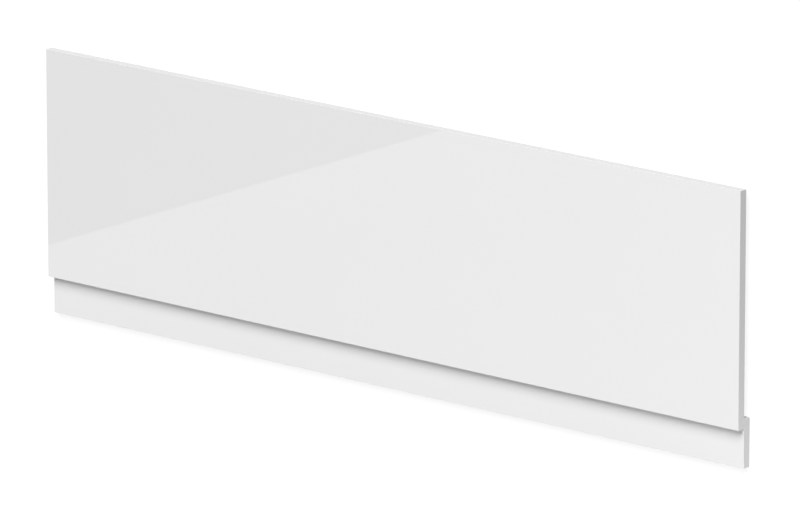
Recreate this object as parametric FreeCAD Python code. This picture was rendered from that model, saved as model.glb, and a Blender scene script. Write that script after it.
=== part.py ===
import FreeCAD, Part
import math
import os

# Straight bath panel: a long gloss white board with a plinth lapped behind its lower edge.
# The boards lie flat with their faces up. X runs along the bath, +Y points to the edge that
# tucks under the bath rim and +Z points out of the faces. The origin is on the floor, at the
# centre of the whole footprint. Lengths are in millimetres and angles in degrees.

# Both boards, cut to one length so that their ends are flush
BOARD_LENGTH = 1800.0
ARRIS_RADIUS = 0.5

# Main panel, which closes the side of the bath
PANEL_HEIGHT = 480.0
PANEL_THICKNESS = 18.0

# Plinth, set back behind the panel's lower edge to leave a toe recess
PLINTH_HEIGHT = 100.0
PLINTH_THICKNESS = 18.0
PLINTH_OVERLAP = 20.0

# Countersunk wood screws that hold the lap, driven from behind
SCREW_END_DISTANCE = 100.0
SCREW_SPACING = 400.0
SHANK_HOLE_DIAMETER = 4.5
COUNTERSINK_DIAMETER = 8.5
COUNTERSINK_ANGLE = 90.0
HEAD_RECESS = 0.5
PILOT_DIAMETER = 3.0
PILOT_POINT_ANGLE = 118.0
PILOT_FACE_COVER = 5.0

# How far a cutter runs past the surface that it enters by
CUT_MARGIN = 1.0

# Levels above the floor that the plinth's back lies on
LAP_LEVEL = PLINTH_THICKNESS
FACE_LEVEL = LAP_LEVEL + PANEL_THICKNESS

# Lines across the height, which is centred on the origin
TOTAL_HEIGHT = PANEL_HEIGHT + PLINTH_HEIGHT - PLINTH_OVERLAP
PLINTH_LOWER_EDGE = -TOTAL_HEIGHT / 2
PANEL_LOWER_EDGE = PLINTH_LOWER_EDGE + PLINTH_HEIGHT - PLINTH_OVERLAP
SCREW_LINE = PANEL_LOWER_EDGE + PLINTH_OVERLAP / 2


def board(height, thickness, lower_edge, back_level):
    """A sawn board, rounded along its face's arrises and down its corners, with square back edges."""
    corner = FreeCAD.Vector(-BOARD_LENGTH / 2, lower_edge, back_level)
    blank = Part.makeBox(BOARD_LENGTH, height, thickness, corner)
    middle = back_level + thickness / 2
    arrises = [edge for edge in blank.Edges if edge.BoundBox.ZMax > middle]
    return blank.makeFillet(ARRIS_RADIUS, arrises)


def turned(outline):
    """A solid turned about the Z axis from the (radius, level) corners of half its section."""
    corners = [FreeCAD.Vector(radius, 0, level) for radius, level in outline]
    section = Part.Face(Part.makePolygon(corners, True))
    return section.revolve(FreeCAD.Vector(0, 0, 0), FreeCAD.Vector(0, 0, 1), 360)


def cone_depth(outer_diameter, inner_diameter, angle):
    """Depth in which a cone of this full angle narrows from one diameter to the other."""
    return (outer_diameter - inner_diameter) / 2 / math.tan(math.radians(angle / 2))


def shank_hole():
    """Clearance hole through the plinth, countersunk from the back so that the head lies below it."""
    sunk = COUNTERSINK_DIAMETER / 2
    shank = SHANK_HOLE_DIAMETER / 2
    throat = HEAD_RECESS + cone_depth(COUNTERSINK_DIAMETER, SHANK_HOLE_DIAMETER, COUNTERSINK_ANGLE)
    entry = -CUT_MARGIN
    outlet = LAP_LEVEL + CUT_MARGIN
    return turned([
        (0, entry),
        (sunk, entry),
        (sunk, HEAD_RECESS),
        (shank, throat),
        (shank, outlet),
        (0, outlet),
    ])


def pilot_hole():
    """Blind hole in the panel's back for the screw's thread, ending in the drill's point below the face."""
    radius = PILOT_DIAMETER / 2
    entry = LAP_LEVEL - CUT_MARGIN
    tip = FACE_LEVEL - PILOT_FACE_COVER
    shoulder = tip - cone_depth(PILOT_DIAMETER, 0, PILOT_POINT_ANGLE)
    return turned([
        (0, entry),
        (radius, entry),
        (radius, shoulder),
        (0, tip),
    ])


def screw_positions():
    """X of each screw: one near each end, the rest evenly between at no more than the spacing."""
    first = SCREW_END_DISTANCE - BOARD_LENGTH / 2
    run = BOARD_LENGTH - 2 * SCREW_END_DISTANCE
    bays = max(1, math.ceil(run / SCREW_SPACING))
    return [first + run * i / bays for i in range(bays + 1)]


def drilled(blank, hole):
    """The board with one hole at every screw along the lap."""
    holes = []
    for x in screw_positions():
        placed = hole.copy()
        placed.translate(FreeCAD.Vector(x, SCREW_LINE, 0))
        holes.append(placed)
    return blank.cut(holes).Solids[0]


def main_panel():
    """The upper board, lapped over the plinth's front and pilot drilled from behind."""
    blank = board(PANEL_HEIGHT, PANEL_THICKNESS, PANEL_LOWER_EDGE, LAP_LEVEL)
    return drilled(blank, pilot_hole())


def plinth():
    """The lower board, whose back lies on the floor and whose face bears on the panel's back."""
    blank = board(PLINTH_HEIGHT, PLINTH_THICKNESS, PLINTH_LOWER_EDGE, 0)
    return drilled(blank, shank_hole())


os.makedirs("parts", exist_ok=True)
main_panel().exportStep("parts/main_panel.step")
plinth().exportStep("parts/plinth.step")
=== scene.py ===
import math
import bmesh
import bpy
from mathutils import Matrix, Vector


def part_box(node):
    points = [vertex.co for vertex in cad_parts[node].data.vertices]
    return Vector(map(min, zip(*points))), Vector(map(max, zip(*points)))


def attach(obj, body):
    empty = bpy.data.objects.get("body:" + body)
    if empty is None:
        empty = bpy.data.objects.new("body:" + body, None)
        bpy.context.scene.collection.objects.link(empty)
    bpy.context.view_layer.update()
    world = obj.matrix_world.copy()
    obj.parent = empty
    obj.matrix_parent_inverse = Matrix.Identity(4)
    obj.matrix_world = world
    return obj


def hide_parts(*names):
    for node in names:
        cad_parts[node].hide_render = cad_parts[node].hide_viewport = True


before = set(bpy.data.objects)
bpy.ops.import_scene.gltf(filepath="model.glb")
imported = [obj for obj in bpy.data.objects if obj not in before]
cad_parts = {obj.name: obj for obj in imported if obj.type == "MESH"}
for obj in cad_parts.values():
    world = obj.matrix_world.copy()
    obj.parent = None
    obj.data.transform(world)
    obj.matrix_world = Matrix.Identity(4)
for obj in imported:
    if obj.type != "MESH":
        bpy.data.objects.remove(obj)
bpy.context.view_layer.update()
bpy.context.scene.view_settings.view_transform = "Standard"


# Main panel
# The long board that closes the side of the bath: fibreboard with a melamine back, sawn, eased round
# its face, sprayed gloss white, and pilot drilled behind for the screws that hold the plinth.
MM = 0.001
ARRIS_RADIUS = 0.5 * MM
ARRIS_SEGMENTS = 5
SMOOTH_ANGLE = math.radians(40)
FLAT_FACE = 0.999
SCREW_END_DISTANCE = 100 * MM
SCREW_SPACING = 400 * MM
ROUNDING_SLACK = 0.001
TURNED_SIDES = 48
CUT_MARGIN = 1 * MM
PILOT_RADIUS = 1.5 * MM
PILOT_FACE_COVER = 5 * MM
PILOT_POINT_LENGTH = 0.9 * MM


def linear(hex_colour):
    """An sRGB hex colour as linear red, green, blue and alpha."""
    shares = [int(hex_colour[i:i + 2], 16) / 255 for i in (0, 2, 4)]
    return [c / 12.92 if c <= 0.04045 else ((c + 0.055) / 1.055) ** 2.4 for c in shares] + [1]


def add_node(tree, kind, inputs, **settings):
    """Adds a node with its settings. Each input is a value, or the output socket that feeds it."""
    node = tree.nodes.new(kind)
    for name, value in settings.items():
        setattr(node, name, value)
    for name, value in inputs.items():
        if isinstance(value, bpy.types.NodeSocket):
            tree.links.new(value, node.inputs[name])
        else:
            node.inputs[name].default_value = value
    return node


def new_material(name):
    """A material with an empty node tree."""
    material = bpy.data.materials.new(name)
    material.use_nodes = True
    material.node_tree.nodes.clear()
    return material


def gloss_white_lacquer():
    """Polyurethane lacquer, sprayed and polished: a clean white under a skin that mirrors sharp edges.
    Spraying leaves a faint orange peel on it, and a cloudiness in the white that only just shows."""
    peel_width = 6 * MM
    peel_height = 0.0002 * MM
    cloud_width = 260 * MM
    material = new_material("gloss_white_lacquer")
    tree = material.node_tree
    place = add_node(tree, "ShaderNodeTexCoord", {}).outputs["Object"]
    cloud = add_node(tree, "ShaderNodeTexNoise", {"Vector": place, "Scale": 1 / cloud_width})
    white = add_node(
        tree, "ShaderNodeMixRGB",
        {"Fac": cloud.outputs["Fac"], "Color1": linear("EFEFEF"), "Color2": linear("F1F1F1")},
    )
    peel = add_node(
        tree, "ShaderNodeTexNoise", {"Vector": place, "Scale": 1 / peel_width, "Detail": 1}
    )
    skin = add_node(
        tree, "ShaderNodeBump", {"Height": peel.outputs["Fac"], "Distance": peel_height}
    )
    surface = add_node(tree, "ShaderNodeBsdfPrincipled", {
        "Base Color": white.outputs["Color"],
        "Roughness": 0.01,
        "IOR": 1.5,
        "Normal": skin.outputs["Normal"],
    })
    add_node(tree, "ShaderNodeOutputMaterial", {"Surface": surface.outputs["BSDF"]})
    return material


def satin_white_melamine():
    """Melamine paper pressed on the board's back: a dull white with the press plate's pearl grain."""
    pearl_width = 0.8 * MM
    pearl_height = 0.01 * MM
    cloud_width = 90 * MM
    material = new_material("satin_white_melamine")
    tree = material.node_tree
    place = add_node(tree, "ShaderNodeTexCoord", {}).outputs["Object"]
    cloud = add_node(tree, "ShaderNodeTexNoise", {"Vector": place, "Scale": 1 / cloud_width})
    white = add_node(
        tree, "ShaderNodeMixRGB",
        {"Fac": cloud.outputs["Fac"], "Color1": linear("E9E8E5"), "Color2": linear("EEEDEA")},
    )
    pearl = add_node(tree, "ShaderNodeTexNoise", {"Vector": place, "Scale": 1 / pearl_width})
    grain = add_node(
        tree, "ShaderNodeBump", {"Height": pearl.outputs["Fac"], "Distance": pearl_height}
    )
    surface = add_node(tree, "ShaderNodeBsdfPrincipled", {
        "Base Color": white.outputs["Color"],
        "Roughness": 0.42,
        "IOR": 1.55,
        "Normal": grain.outputs["Normal"],
    })
    add_node(tree, "ShaderNodeOutputMaterial", {"Surface": surface.outputs["BSDF"]})
    return material


def drilled_fibreboard():
    """Bare fibreboard where a drill has cut it: tan, dry and fuzzy with short wood fibres."""
    fibre_width = 0.5 * MM
    fibre_height = 0.1 * MM
    material = new_material("drilled_fibreboard")
    tree = material.node_tree
    place = add_node(tree, "ShaderNodeTexCoord", {}).outputs["Object"]
    fibre = add_node(tree, "ShaderNodeTexNoise", {"Vector": place, "Scale": 1 / fibre_width})
    tan = add_node(
        tree, "ShaderNodeMixRGB",
        {"Fac": fibre.outputs["Fac"], "Color1": linear("8F7048"), "Color2": linear("C2A47A")},
    )
    fuzz = add_node(
        tree, "ShaderNodeBump", {"Height": fibre.outputs["Fac"], "Distance": fibre_height}
    )
    surface = add_node(tree, "ShaderNodeBsdfPrincipled", {
        "Base Color": tan.outputs["Color"],
        "Roughness": 0.9,
        "IOR": 1.45,
        "Normal": fuzz.outputs["Normal"],
    })
    add_node(tree, "ShaderNodeOutputMaterial", {"Surface": surface.outputs["BSDF"]})
    return material


def select_faces(piece, chosen):
    """In edit mode, selects the faces that the test chooses and no others."""
    bpy.ops.mesh.select_mode(type="FACE")
    bpy.ops.mesh.select_all(action="DESELECT")
    cage = bmesh.from_edit_mesh(piece.data)
    for face in cage.faces:
        face.select_set(chosen(face))
    bmesh.update_edit_mesh(piece.data)


def lacquered_board(name, low, high):
    """A board with a lacquered face and edges: its face's arrises and its corners are rounded, and
    its melamine back keeps square edges."""
    bpy.ops.object.select_all(action="DESELECT")
    bpy.ops.mesh.primitive_cube_add(size=1, location=(low + high) / 2, scale=high - low)
    board = bpy.context.active_object
    board.name = name
    bpy.ops.object.transform_apply(location=True, rotation=True, scale=True)
    bpy.ops.object.mode_set(mode="EDIT")
    bpy.ops.mesh.select_mode(type="EDGE")
    bpy.ops.mesh.select_all(action="DESELECT")
    cage = bmesh.from_edit_mesh(board.data)
    for edge in cage.edges:
        edge.select_set(max(corner.co.z for corner in edge.verts) > (low.z + high.z) / 2)
    bmesh.update_edit_mesh(board.data)
    bpy.ops.mesh.bevel(offset=ARRIS_RADIUS, segments=ARRIS_SEGMENTS, affect="EDGES")
    board.data.materials.append(lacquer)
    board.data.materials.append(melamine)
    select_faces(board, lambda face: face.normal.z < -FLAT_FACE)
    board.active_material_index = board.data.materials.find(melamine.name)
    bpy.ops.object.material_slot_assign()
    bpy.ops.object.mode_set(mode="OBJECT")
    return board


def turned(name, rings):
    """A round piece on the Z axis: a disc at the first (radius, level), drawn out ring by ring."""
    (radius, level), *others = rings
    bpy.ops.object.select_all(action="DESELECT")
    bpy.ops.mesh.primitive_circle_add(
        vertices=TURNED_SIDES, radius=radius, fill_type="NGON", location=(0, 0, level)
    )
    piece = bpy.context.active_object
    piece.name = name
    bpy.ops.object.transform_apply(location=True, rotation=True, scale=True)
    bpy.ops.object.mode_set(mode="EDIT")
    for next_radius, next_level in others:
        rise = (0, 0, next_level - level)
        bpy.ops.mesh.extrude_region_move(TRANSFORM_OT_translate={"value": rise})
        if next_radius:
            draw = next_radius / radius
            bpy.ops.transform.resize(value=(draw, draw, 1), center_override=(0, 0, next_level))
        else:
            bpy.ops.mesh.merge(type="CENTER")
        radius, level = next_radius, next_level
    bpy.ops.mesh.select_all(action="SELECT")
    bpy.ops.mesh.normals_make_consistent(inside=False)
    bpy.ops.object.mode_set(mode="OBJECT")
    return piece


def lap_screw_places():
    """Where the lap's screws stand: one near each end, the rest evenly between, on its middle line."""
    low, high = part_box("main_panel")
    first = low.x + SCREW_END_DISTANCE
    run = high.x - low.x - 2 * SCREW_END_DISTANCE
    bays = math.ceil(run / SCREW_SPACING - ROUNDING_SLACK)
    line = (low.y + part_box("plinth")[1].y) / 2
    return [Vector((first + run * i / bays, line, 0)) for i in range(bays + 1)]


def copies_at(piece, places):
    """Copies of a piece, each with its own mesh, moved from the origin to the places given."""
    copies = []
    for number, place in enumerate(places, 1):
        copy = piece.copy()
        copy.name = f"{piece.name}_{number}"
        copy.data = piece.data.copy()
        copy.data.transform(Matrix.Translation(place))
        bpy.context.collection.objects.link(copy)
        copies.append(copy)
    bpy.data.objects.remove(piece)
    return copies


def apply_boolean(piece, other, operation, material_mode="INDEX"):
    """Joins another piece to this one or cuts it away, and removes the other. In the material mode
    TRANSFER the new faces take the other piece's material."""
    bpy.ops.object.select_all(action="DESELECT")
    piece.select_set(True)
    bpy.context.view_layer.objects.active = piece
    step = piece.modifiers.new(operation.lower(), "BOOLEAN")
    step.object = other
    step.operation = operation
    step.solver = "EXACT"
    step.material_mode = material_mode
    bpy.ops.object.modifier_apply(modifier=step.name)
    bpy.data.objects.remove(other)


def drill(board, rings):
    """Cuts a hole of the rings' shape at each of the lap's screws, with walls of bare fibreboard, then
    smooths those walls and the rounded arrises."""
    bit = turned("drill_bit", rings)
    bit.data.materials.append(fibreboard)
    bits = copies_at(bit, screw_places)
    bpy.ops.object.select_all(action="DESELECT")
    for copy in bits:
        copy.select_set(True)
    bpy.context.view_layer.objects.active = bits[0]
    bpy.ops.object.join()
    apply_boolean(board, bits[0], "DIFFERENCE", "TRANSFER")
    bpy.ops.object.shade_smooth_by_angle(angle=SMOOTH_ANGLE)
    flats = board.modifiers.new("flat_faces", "WEIGHTED_NORMAL")
    flats.keep_sharp = True
    bpy.ops.object.modifier_apply(modifier=flats.name)


lacquer = gloss_white_lacquer()
melamine = satin_white_melamine()
fibreboard = drilled_fibreboard()
screw_places = lap_screw_places()
panel_low, panel_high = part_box("main_panel")
panel = lacquered_board("panel_board", panel_low, panel_high)
pilot_tip = panel_high.z - PILOT_FACE_COVER
drill(panel, [
    (PILOT_RADIUS, panel_low.z - CUT_MARGIN),
    (PILOT_RADIUS, pilot_tip - PILOT_POINT_LENGTH),
    (0, pilot_tip),
])
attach(panel, "root")
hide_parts("main_panel")


# Plinth
# The low board set back behind the panel's lower edge to leave room for toes, of the same lacquered
# fibreboard. It laps the panel's back, and is drilled and countersunk from behind for its screws.
SHANK_HOLE_RADIUS = 2.25 * MM
COUNTERSINK_RADIUS = 4.25 * MM
COUNTERSINK_DEPTH = 2 * MM
HEAD_RECESS = 0.5 * MM

plinth_low, plinth_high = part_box("plinth")
plinth = lacquered_board("plinth_board", plinth_low, plinth_high)
drill(plinth, [
    (COUNTERSINK_RADIUS, plinth_low.z - CUT_MARGIN),
    (COUNTERSINK_RADIUS, plinth_low.z + HEAD_RECESS),
    (SHANK_HOLE_RADIUS, plinth_low.z + HEAD_RECESS + COUNTERSINK_DEPTH),
    (SHANK_HOLE_RADIUS, plinth_high.z + CUT_MARGIN),
])
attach(plinth, "root")
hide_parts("plinth")


# Plinth screws
# Countersunk 4 x 30 wood screws of zinc-plated steel with a cross recess and a rolled thread, driven
# through the plinth into the panel's pilot holes until their heads lie just below the plinth's back.
HEAD_RADIUS = 4 * MM
HEAD_RIM = 0.25 * MM
HEAD_EDGE = 0.1 * MM
SHANK_RADIUS = 1.4 * MM
CORE_RADIUS = 1.2 * MM
THREAD_RADIUS = 2 * MM
THREAD_PITCH = 1.8 * MM
THREAD_ROOT_WIDTH = 0.8 * MM
THREAD_TURNS = 9
THREAD_STEPS = 24
THREAD_SINK = 0.1 * MM
THREAD_RUN_IN = 0.1
SCREW_LENGTH = 30 * MM
PLAIN_LENGTH = 12 * MM
POINT_LENGTH = 5 * MM
RECESS_WIDTH = 4.4 * MM
RECESS_SLOT = 0.95 * MM
RECESS_DEPTH = 2.1 * MM
RECESS_TAPER = 0.35
QUARTER_TURN = math.radians(90)


def bright_zinc_plated_steel():
    """Zinc plated on rolled steel wire: a silvery metal, bluish and yellowish by turns from its clear
    passivation, and finely streaked where the dies rolled it."""
    streak_width = 0.3 * MM
    streak_height = 0.004 * MM
    streak_roughness = 0.2
    least_roughness = 0.2
    tint_width = 2.5 * MM
    material = new_material("bright_zinc_plated_steel")
    tree = material.node_tree
    place = add_node(tree, "ShaderNodeTexCoord", {}).outputs["Object"]
    tint = add_node(tree, "ShaderNodeTexNoise", {"Vector": place, "Scale": 1 / tint_width})
    silver = add_node(
        tree, "ShaderNodeMixRGB",
        {"Fac": tint.outputs["Fac"], "Color1": linear("C3C9D2"), "Color2": linear("D6D2C4")},
    )
    streak = add_node(tree, "ShaderNodeTexNoise", {"Vector": place, "Scale": 1 / streak_width})
    dull = add_node(
        tree, "ShaderNodeMath",
        {0: streak.outputs["Fac"], 1: streak_roughness, 2: least_roughness}, operation="MULTIPLY_ADD",
    )
    rolled = add_node(
        tree, "ShaderNodeBump", {"Height": streak.outputs["Fac"], "Distance": streak_height}
    )
    surface = add_node(tree, "ShaderNodeBsdfPrincipled", {
        "Base Color": silver.outputs["Color"],
        "Metallic": 1,
        "Roughness": dull.outputs["Value"],
        "Normal": rolled.outputs["Normal"],
    })
    add_node(tree, "ShaderNodeOutputMaterial", {"Surface": surface.outputs["BSDF"]})
    return material


def rolled_thread(start, tip):
    """A ridge that rises out of the core and narrows with the point: a triangle, screwed up along the
    Z axis and closed at both ends."""
    bpy.ops.object.select_all(action="DESELECT")
    bpy.ops.mesh.primitive_circle_add(vertices=3, radius=1, fill_type="NOTHING")
    ridge = bpy.context.active_object
    ridge.name = "screw_thread"
    root = CORE_RADIUS - THREAD_SINK
    half = THREAD_ROOT_WIDTH / 2
    corners = [(root, start - half), (THREAD_RADIUS, start), (root, start + half)]
    between_sides = math.pi / TURNED_SIDES
    for vertex, (radius, level) in zip(ridge.data.vertices, corners):
        vertex.co = (radius * math.cos(between_sides), radius * math.sin(between_sides), level)
    wind = ridge.modifiers.new("wind", "SCREW")
    wind.screw_offset = THREAD_PITCH
    wind.iterations = THREAD_TURNS
    wind.steps = THREAD_STEPS
    wind.render_steps = THREAD_STEPS
    bpy.ops.object.modifier_apply(modifier=wind.name)
    bpy.ops.object.mode_set(mode="EDIT")
    bpy.ops.mesh.select_all(action="SELECT")
    bpy.ops.mesh.fill_holes(sides=3)
    cage = bmesh.from_edit_mesh(ridge.data)
    for vertex in cage.verts:
        radius = vertex.co.xy.length
        rise = min(1, max(THREAD_RUN_IN, (vertex.co.z - start) / THREAD_PITCH))
        narrowing = min(1, (tip - vertex.co.z) / POINT_LENGTH)
        vertex.co.xy *= (root + (radius - root) * rise) / radius * narrowing
    bmesh.update_edit_mesh(ridge.data)
    bpy.ops.mesh.select_all(action="SELECT")
    bpy.ops.mesh.normals_make_consistent(inside=False)
    bpy.ops.object.mode_set(mode="OBJECT")
    return ridge


def recess_blade(turn, top):
    """One slot of the cross recess: a flat blade with a narrow bottom, turned about the screw's axis."""
    bpy.ops.object.select_all(action="DESELECT")
    height = RECESS_DEPTH + CUT_MARGIN
    middle = top + (RECESS_DEPTH - CUT_MARGIN) / 2
    bpy.ops.mesh.primitive_cube_add(
        size=1, location=(0, 0, middle), scale=(RECESS_WIDTH, RECESS_SLOT, height)
    )
    blade = bpy.context.active_object
    bpy.ops.object.transform_apply(location=True, rotation=True, scale=True)
    bpy.ops.object.mode_set(mode="EDIT")
    select_faces(blade, lambda face: face.normal.z > FLAT_FACE)
    bottom = (0, 0, top + RECESS_DEPTH)
    bpy.ops.transform.resize(value=(RECESS_TAPER, 1, 1), center_override=bottom)
    bpy.ops.mesh.select_all(action="SELECT")
    bpy.ops.transform.rotate(value=turn, orient_axis="Z", center_override=(0, 0, 0))
    bpy.ops.object.mode_set(mode="OBJECT")
    return blade


head_top = plinth_low.z + HEAD_RECESS
neck = head_top + HEAD_RIM + HEAD_RADIUS - SHANK_RADIUS
thread_start = head_top + PLAIN_LENGTH
screw_tip = head_top + SCREW_LENGTH
screw = turned("plinth_screw", [
    (HEAD_RADIUS - HEAD_EDGE, head_top),
    (HEAD_RADIUS, head_top + HEAD_EDGE),
    (HEAD_RADIUS, head_top + HEAD_RIM),
    (SHANK_RADIUS, neck),
    (SHANK_RADIUS, thread_start - THREAD_PITCH),
    (CORE_RADIUS, thread_start - THREAD_PITCH + SHANK_RADIUS - CORE_RADIUS),
    (CORE_RADIUS, screw_tip - POINT_LENGTH),
    (0, screw_tip),
])
apply_boolean(screw, rolled_thread(thread_start, screw_tip), "UNION")
for turn in (0, QUARTER_TURN):
    apply_boolean(screw, recess_blade(turn, head_top), "DIFFERENCE")
bpy.ops.object.shade_smooth_by_angle(angle=SMOOTH_ANGLE)
screw.data.materials.append(bright_zinc_plated_steel())
for fixing in copies_at(screw, screw_places):
    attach(fixing, "root")


# Camera
# The panel is pictured standing in use, from its right and a little above, through a very long lens.
# It is stored lying on its back, so the camera is laid back with it by a quarter turn.
VIEW_AZIMUTH = math.radians(40.069)
VIEW_ELEVATION = math.radians(14.894)
VIEW_DISTANCE = 18.9188
VIEW_DEPTH = 200
PICTURE_CENTRE = Vector((44.1 * MM, -2.6 * MM, panel_high.z))
FOCAL_LENGTH = 428.45

bpy.ops.object.camera_add()
camera = bpy.context.active_object
at_picture_centre = Matrix.Translation(PICTURE_CENTRE)
laid_back = Matrix.Rotation(-QUARTER_TURN, 4, "X")
turned_right = Matrix.Rotation(VIEW_AZIMUTH, 4, "Z")
tipped_down = Matrix.Rotation(QUARTER_TURN - VIEW_ELEVATION, 4, "X")
stood_off = Matrix.Translation((0, 0, VIEW_DISTANCE))
camera.matrix_world = at_picture_centre @ laid_back @ turned_right @ tipped_down @ stood_off
camera.data.lens = FOCAL_LENGTH
camera.data.clip_end = VIEW_DEPTH
bpy.context.scene.camera = camera


# Floor
# A plain floor in matt grey paint. To the eye and in reflections it is lifted to the background's
# white, and it keeps the soft shadow of the boards that lie on it.
FLOOR_SIZE = 160
FLOOR_LIFT = 0.86


def seen_rays(tree):
    """1 for rays that the eye follows, straight or in a mirror or glass, and 0 for the light's own."""
    path = add_node(tree, "ShaderNodeLightPath", {})
    mirrored = add_node(
        tree, "ShaderNodeMath",
        {0: path.outputs["Is Camera Ray"], 1: path.outputs["Is Glossy Ray"]}, operation="ADD",
    )
    return add_node(
        tree, "ShaderNodeMath",
        {0: mirrored.outputs["Value"], 1: path.outputs["Is Transmission Ray"]},
        operation="ADD", use_clamp=True,
    ).outputs["Value"]


def matt_pale_floor():
    """Matt grey paint, lifted to white by an even glow that lights nothing else."""
    material = new_material("matt_pale_floor")
    tree = material.node_tree
    paint = add_node(tree, "ShaderNodeBsdfDiffuse", {"Color": linear("808080")})
    lift = add_node(
        tree, "ShaderNodeMath", {0: seen_rays(tree), 1: FLOOR_LIFT}, operation="MULTIPLY"
    )
    glow = add_node(tree, "ShaderNodeEmission", {"Strength": lift.outputs["Value"]})
    surface = add_node(
        tree, "ShaderNodeAddShader", {0: paint.outputs["BSDF"], 1: glow.outputs["Emission"]}
    )
    add_node(tree, "ShaderNodeOutputMaterial", {"Surface": surface.outputs["Shader"]})
    return material


bpy.ops.mesh.primitive_plane_add(size=FLOOR_SIZE)
floor = bpy.context.active_object
floor.name = "floor"
floor.data.materials.append(matt_pale_floor())


# Light
# Softboxes in a white room: a far key, a fill, a low lamp for the right-hand end, a long one for the
# edges that face away, and a flat one whose straight side the gloss face mirrors as a slanting line.
ROOM_RADIANCE = 0.18
KEY_RADIANCE = 9.87
KEY_CENTRE = Vector((15.1, 41.6, 40.5))
KEY_SIZE = (32.1, 37.8)
FILL_RADIANCE = 2.2
FILL_CENTRE = Vector((2.8, -1.4, 1.9))
FILL_AIM = Vector((0.3, -0.1, 0.0))
FILL_SIZE = (1.2, 1.2)
END_LAMP_RADIANCE = 5.6
END_LAMP_CENTRE = Vector((1.25, -0.42, 0.07))
END_LAMP_AIM = Vector((0.9, -0.24, 0.01))
END_LAMP_SIZE = (0.2, 0.08)
BACK_RADIANCE = 8.0
BACK_CENTRE = Vector((-5.5, -3.5, 0.3))
BACK_SIZE = (7.0, 0.5)
MIRRORED_RADIANCE = 1.02
MIRRORED_HEIGHT = 7.0
MIRRORED_SIZE = (4.0, 1.75)
MIRRORED_SHIFT = 0.25
LINE_ABOVE_LOWER_EDGE = 66 * MM
LINE_PAST_MIDDLE = 152 * MM


def white_room():
    """A room that fills the shadows with a little light, and that looks white, in mirrors too."""
    world = bpy.data.worlds.new("white_room")
    world.use_nodes = True
    tree = world.node_tree
    tree.nodes.clear()
    glow = add_node(
        tree, "ShaderNodeMath",
        {0: seen_rays(tree), 1: 1 - ROOM_RADIANCE, 2: ROOM_RADIANCE}, operation="MULTIPLY_ADD",
    )
    walls = add_node(
        tree, "ShaderNodeBackground",
        {"Color": linear("FFFFFF"), "Strength": glow.outputs["Value"]},
    )
    add_node(tree, "ShaderNodeOutputWorld", {"Surface": walls.outputs["Background"]})
    return world


def softbox(name, size, radiance, matrix):
    """A rectangular light that shines along its own -Z and looks as bright as its radiance: 1 is white."""
    width, depth = size
    bpy.ops.object.light_add(type="AREA")
    light = bpy.context.active_object
    light.name = name
    light.data.shape = "RECTANGLE"
    light.data.size = width
    light.data.size_y = depth
    light.data.energy = radiance * math.pi * width * depth
    light.matrix_world = matrix
    light.visible_camera = False


def aimed(centre, target):
    """The place and turn of a light that stands at one point and shines at another."""
    turn = (target - centre).to_track_quat("-Z", "Y").to_matrix().to_4x4()
    return Matrix.Translation(centre) @ turn


def mirrored_at(point):
    """Where the camera's view of a point on the face, mirrored there, meets the flat softbox's height."""
    eye = camera.matrix_world.translation.copy()
    eye.z = 2 * panel_high.z - eye.z
    return eye + (point - eye) * (MIRRORED_HEIGHT - eye.z) / (point.z - eye.z)


bpy.context.scene.world = white_room()
softbox("key_softbox", KEY_SIZE, KEY_RADIANCE, aimed(KEY_CENTRE, Vector()))
softbox("fill_softbox", FILL_SIZE, FILL_RADIANCE, aimed(FILL_CENTRE, FILL_AIM))
softbox("end_lamp", END_LAMP_SIZE, END_LAMP_RADIANCE, aimed(END_LAMP_CENTRE, END_LAMP_AIM))
softbox("back_softbox", BACK_SIZE, BACK_RADIANCE, aimed(BACK_CENTRE, Vector()))

line_at_left_end = Vector((panel_low.x, panel_low.y + LINE_ABOVE_LOWER_EDGE, panel_high.z))
line_at_rim_edge = Vector((LINE_PAST_MIDDLE, panel_high.y, panel_high.z))
side_start = mirrored_at(line_at_left_end)
side_end = mirrored_at(line_at_rim_edge)
along = (side_end - side_start).normalized()
across = along.cross(Vector((0, 0, 1)))
hung_at = (side_start + side_end) / 2 + along * MIRRORED_SHIFT + across * MIRRORED_SIZE[1] / 2
slant = Matrix.Rotation(math.atan2(along.y, along.x), 4, "Z")
softbox("mirrored_softbox", MIRRORED_SIZE, MIRRORED_RADIANCE, Matrix.Translation(hung_at) @ slant)
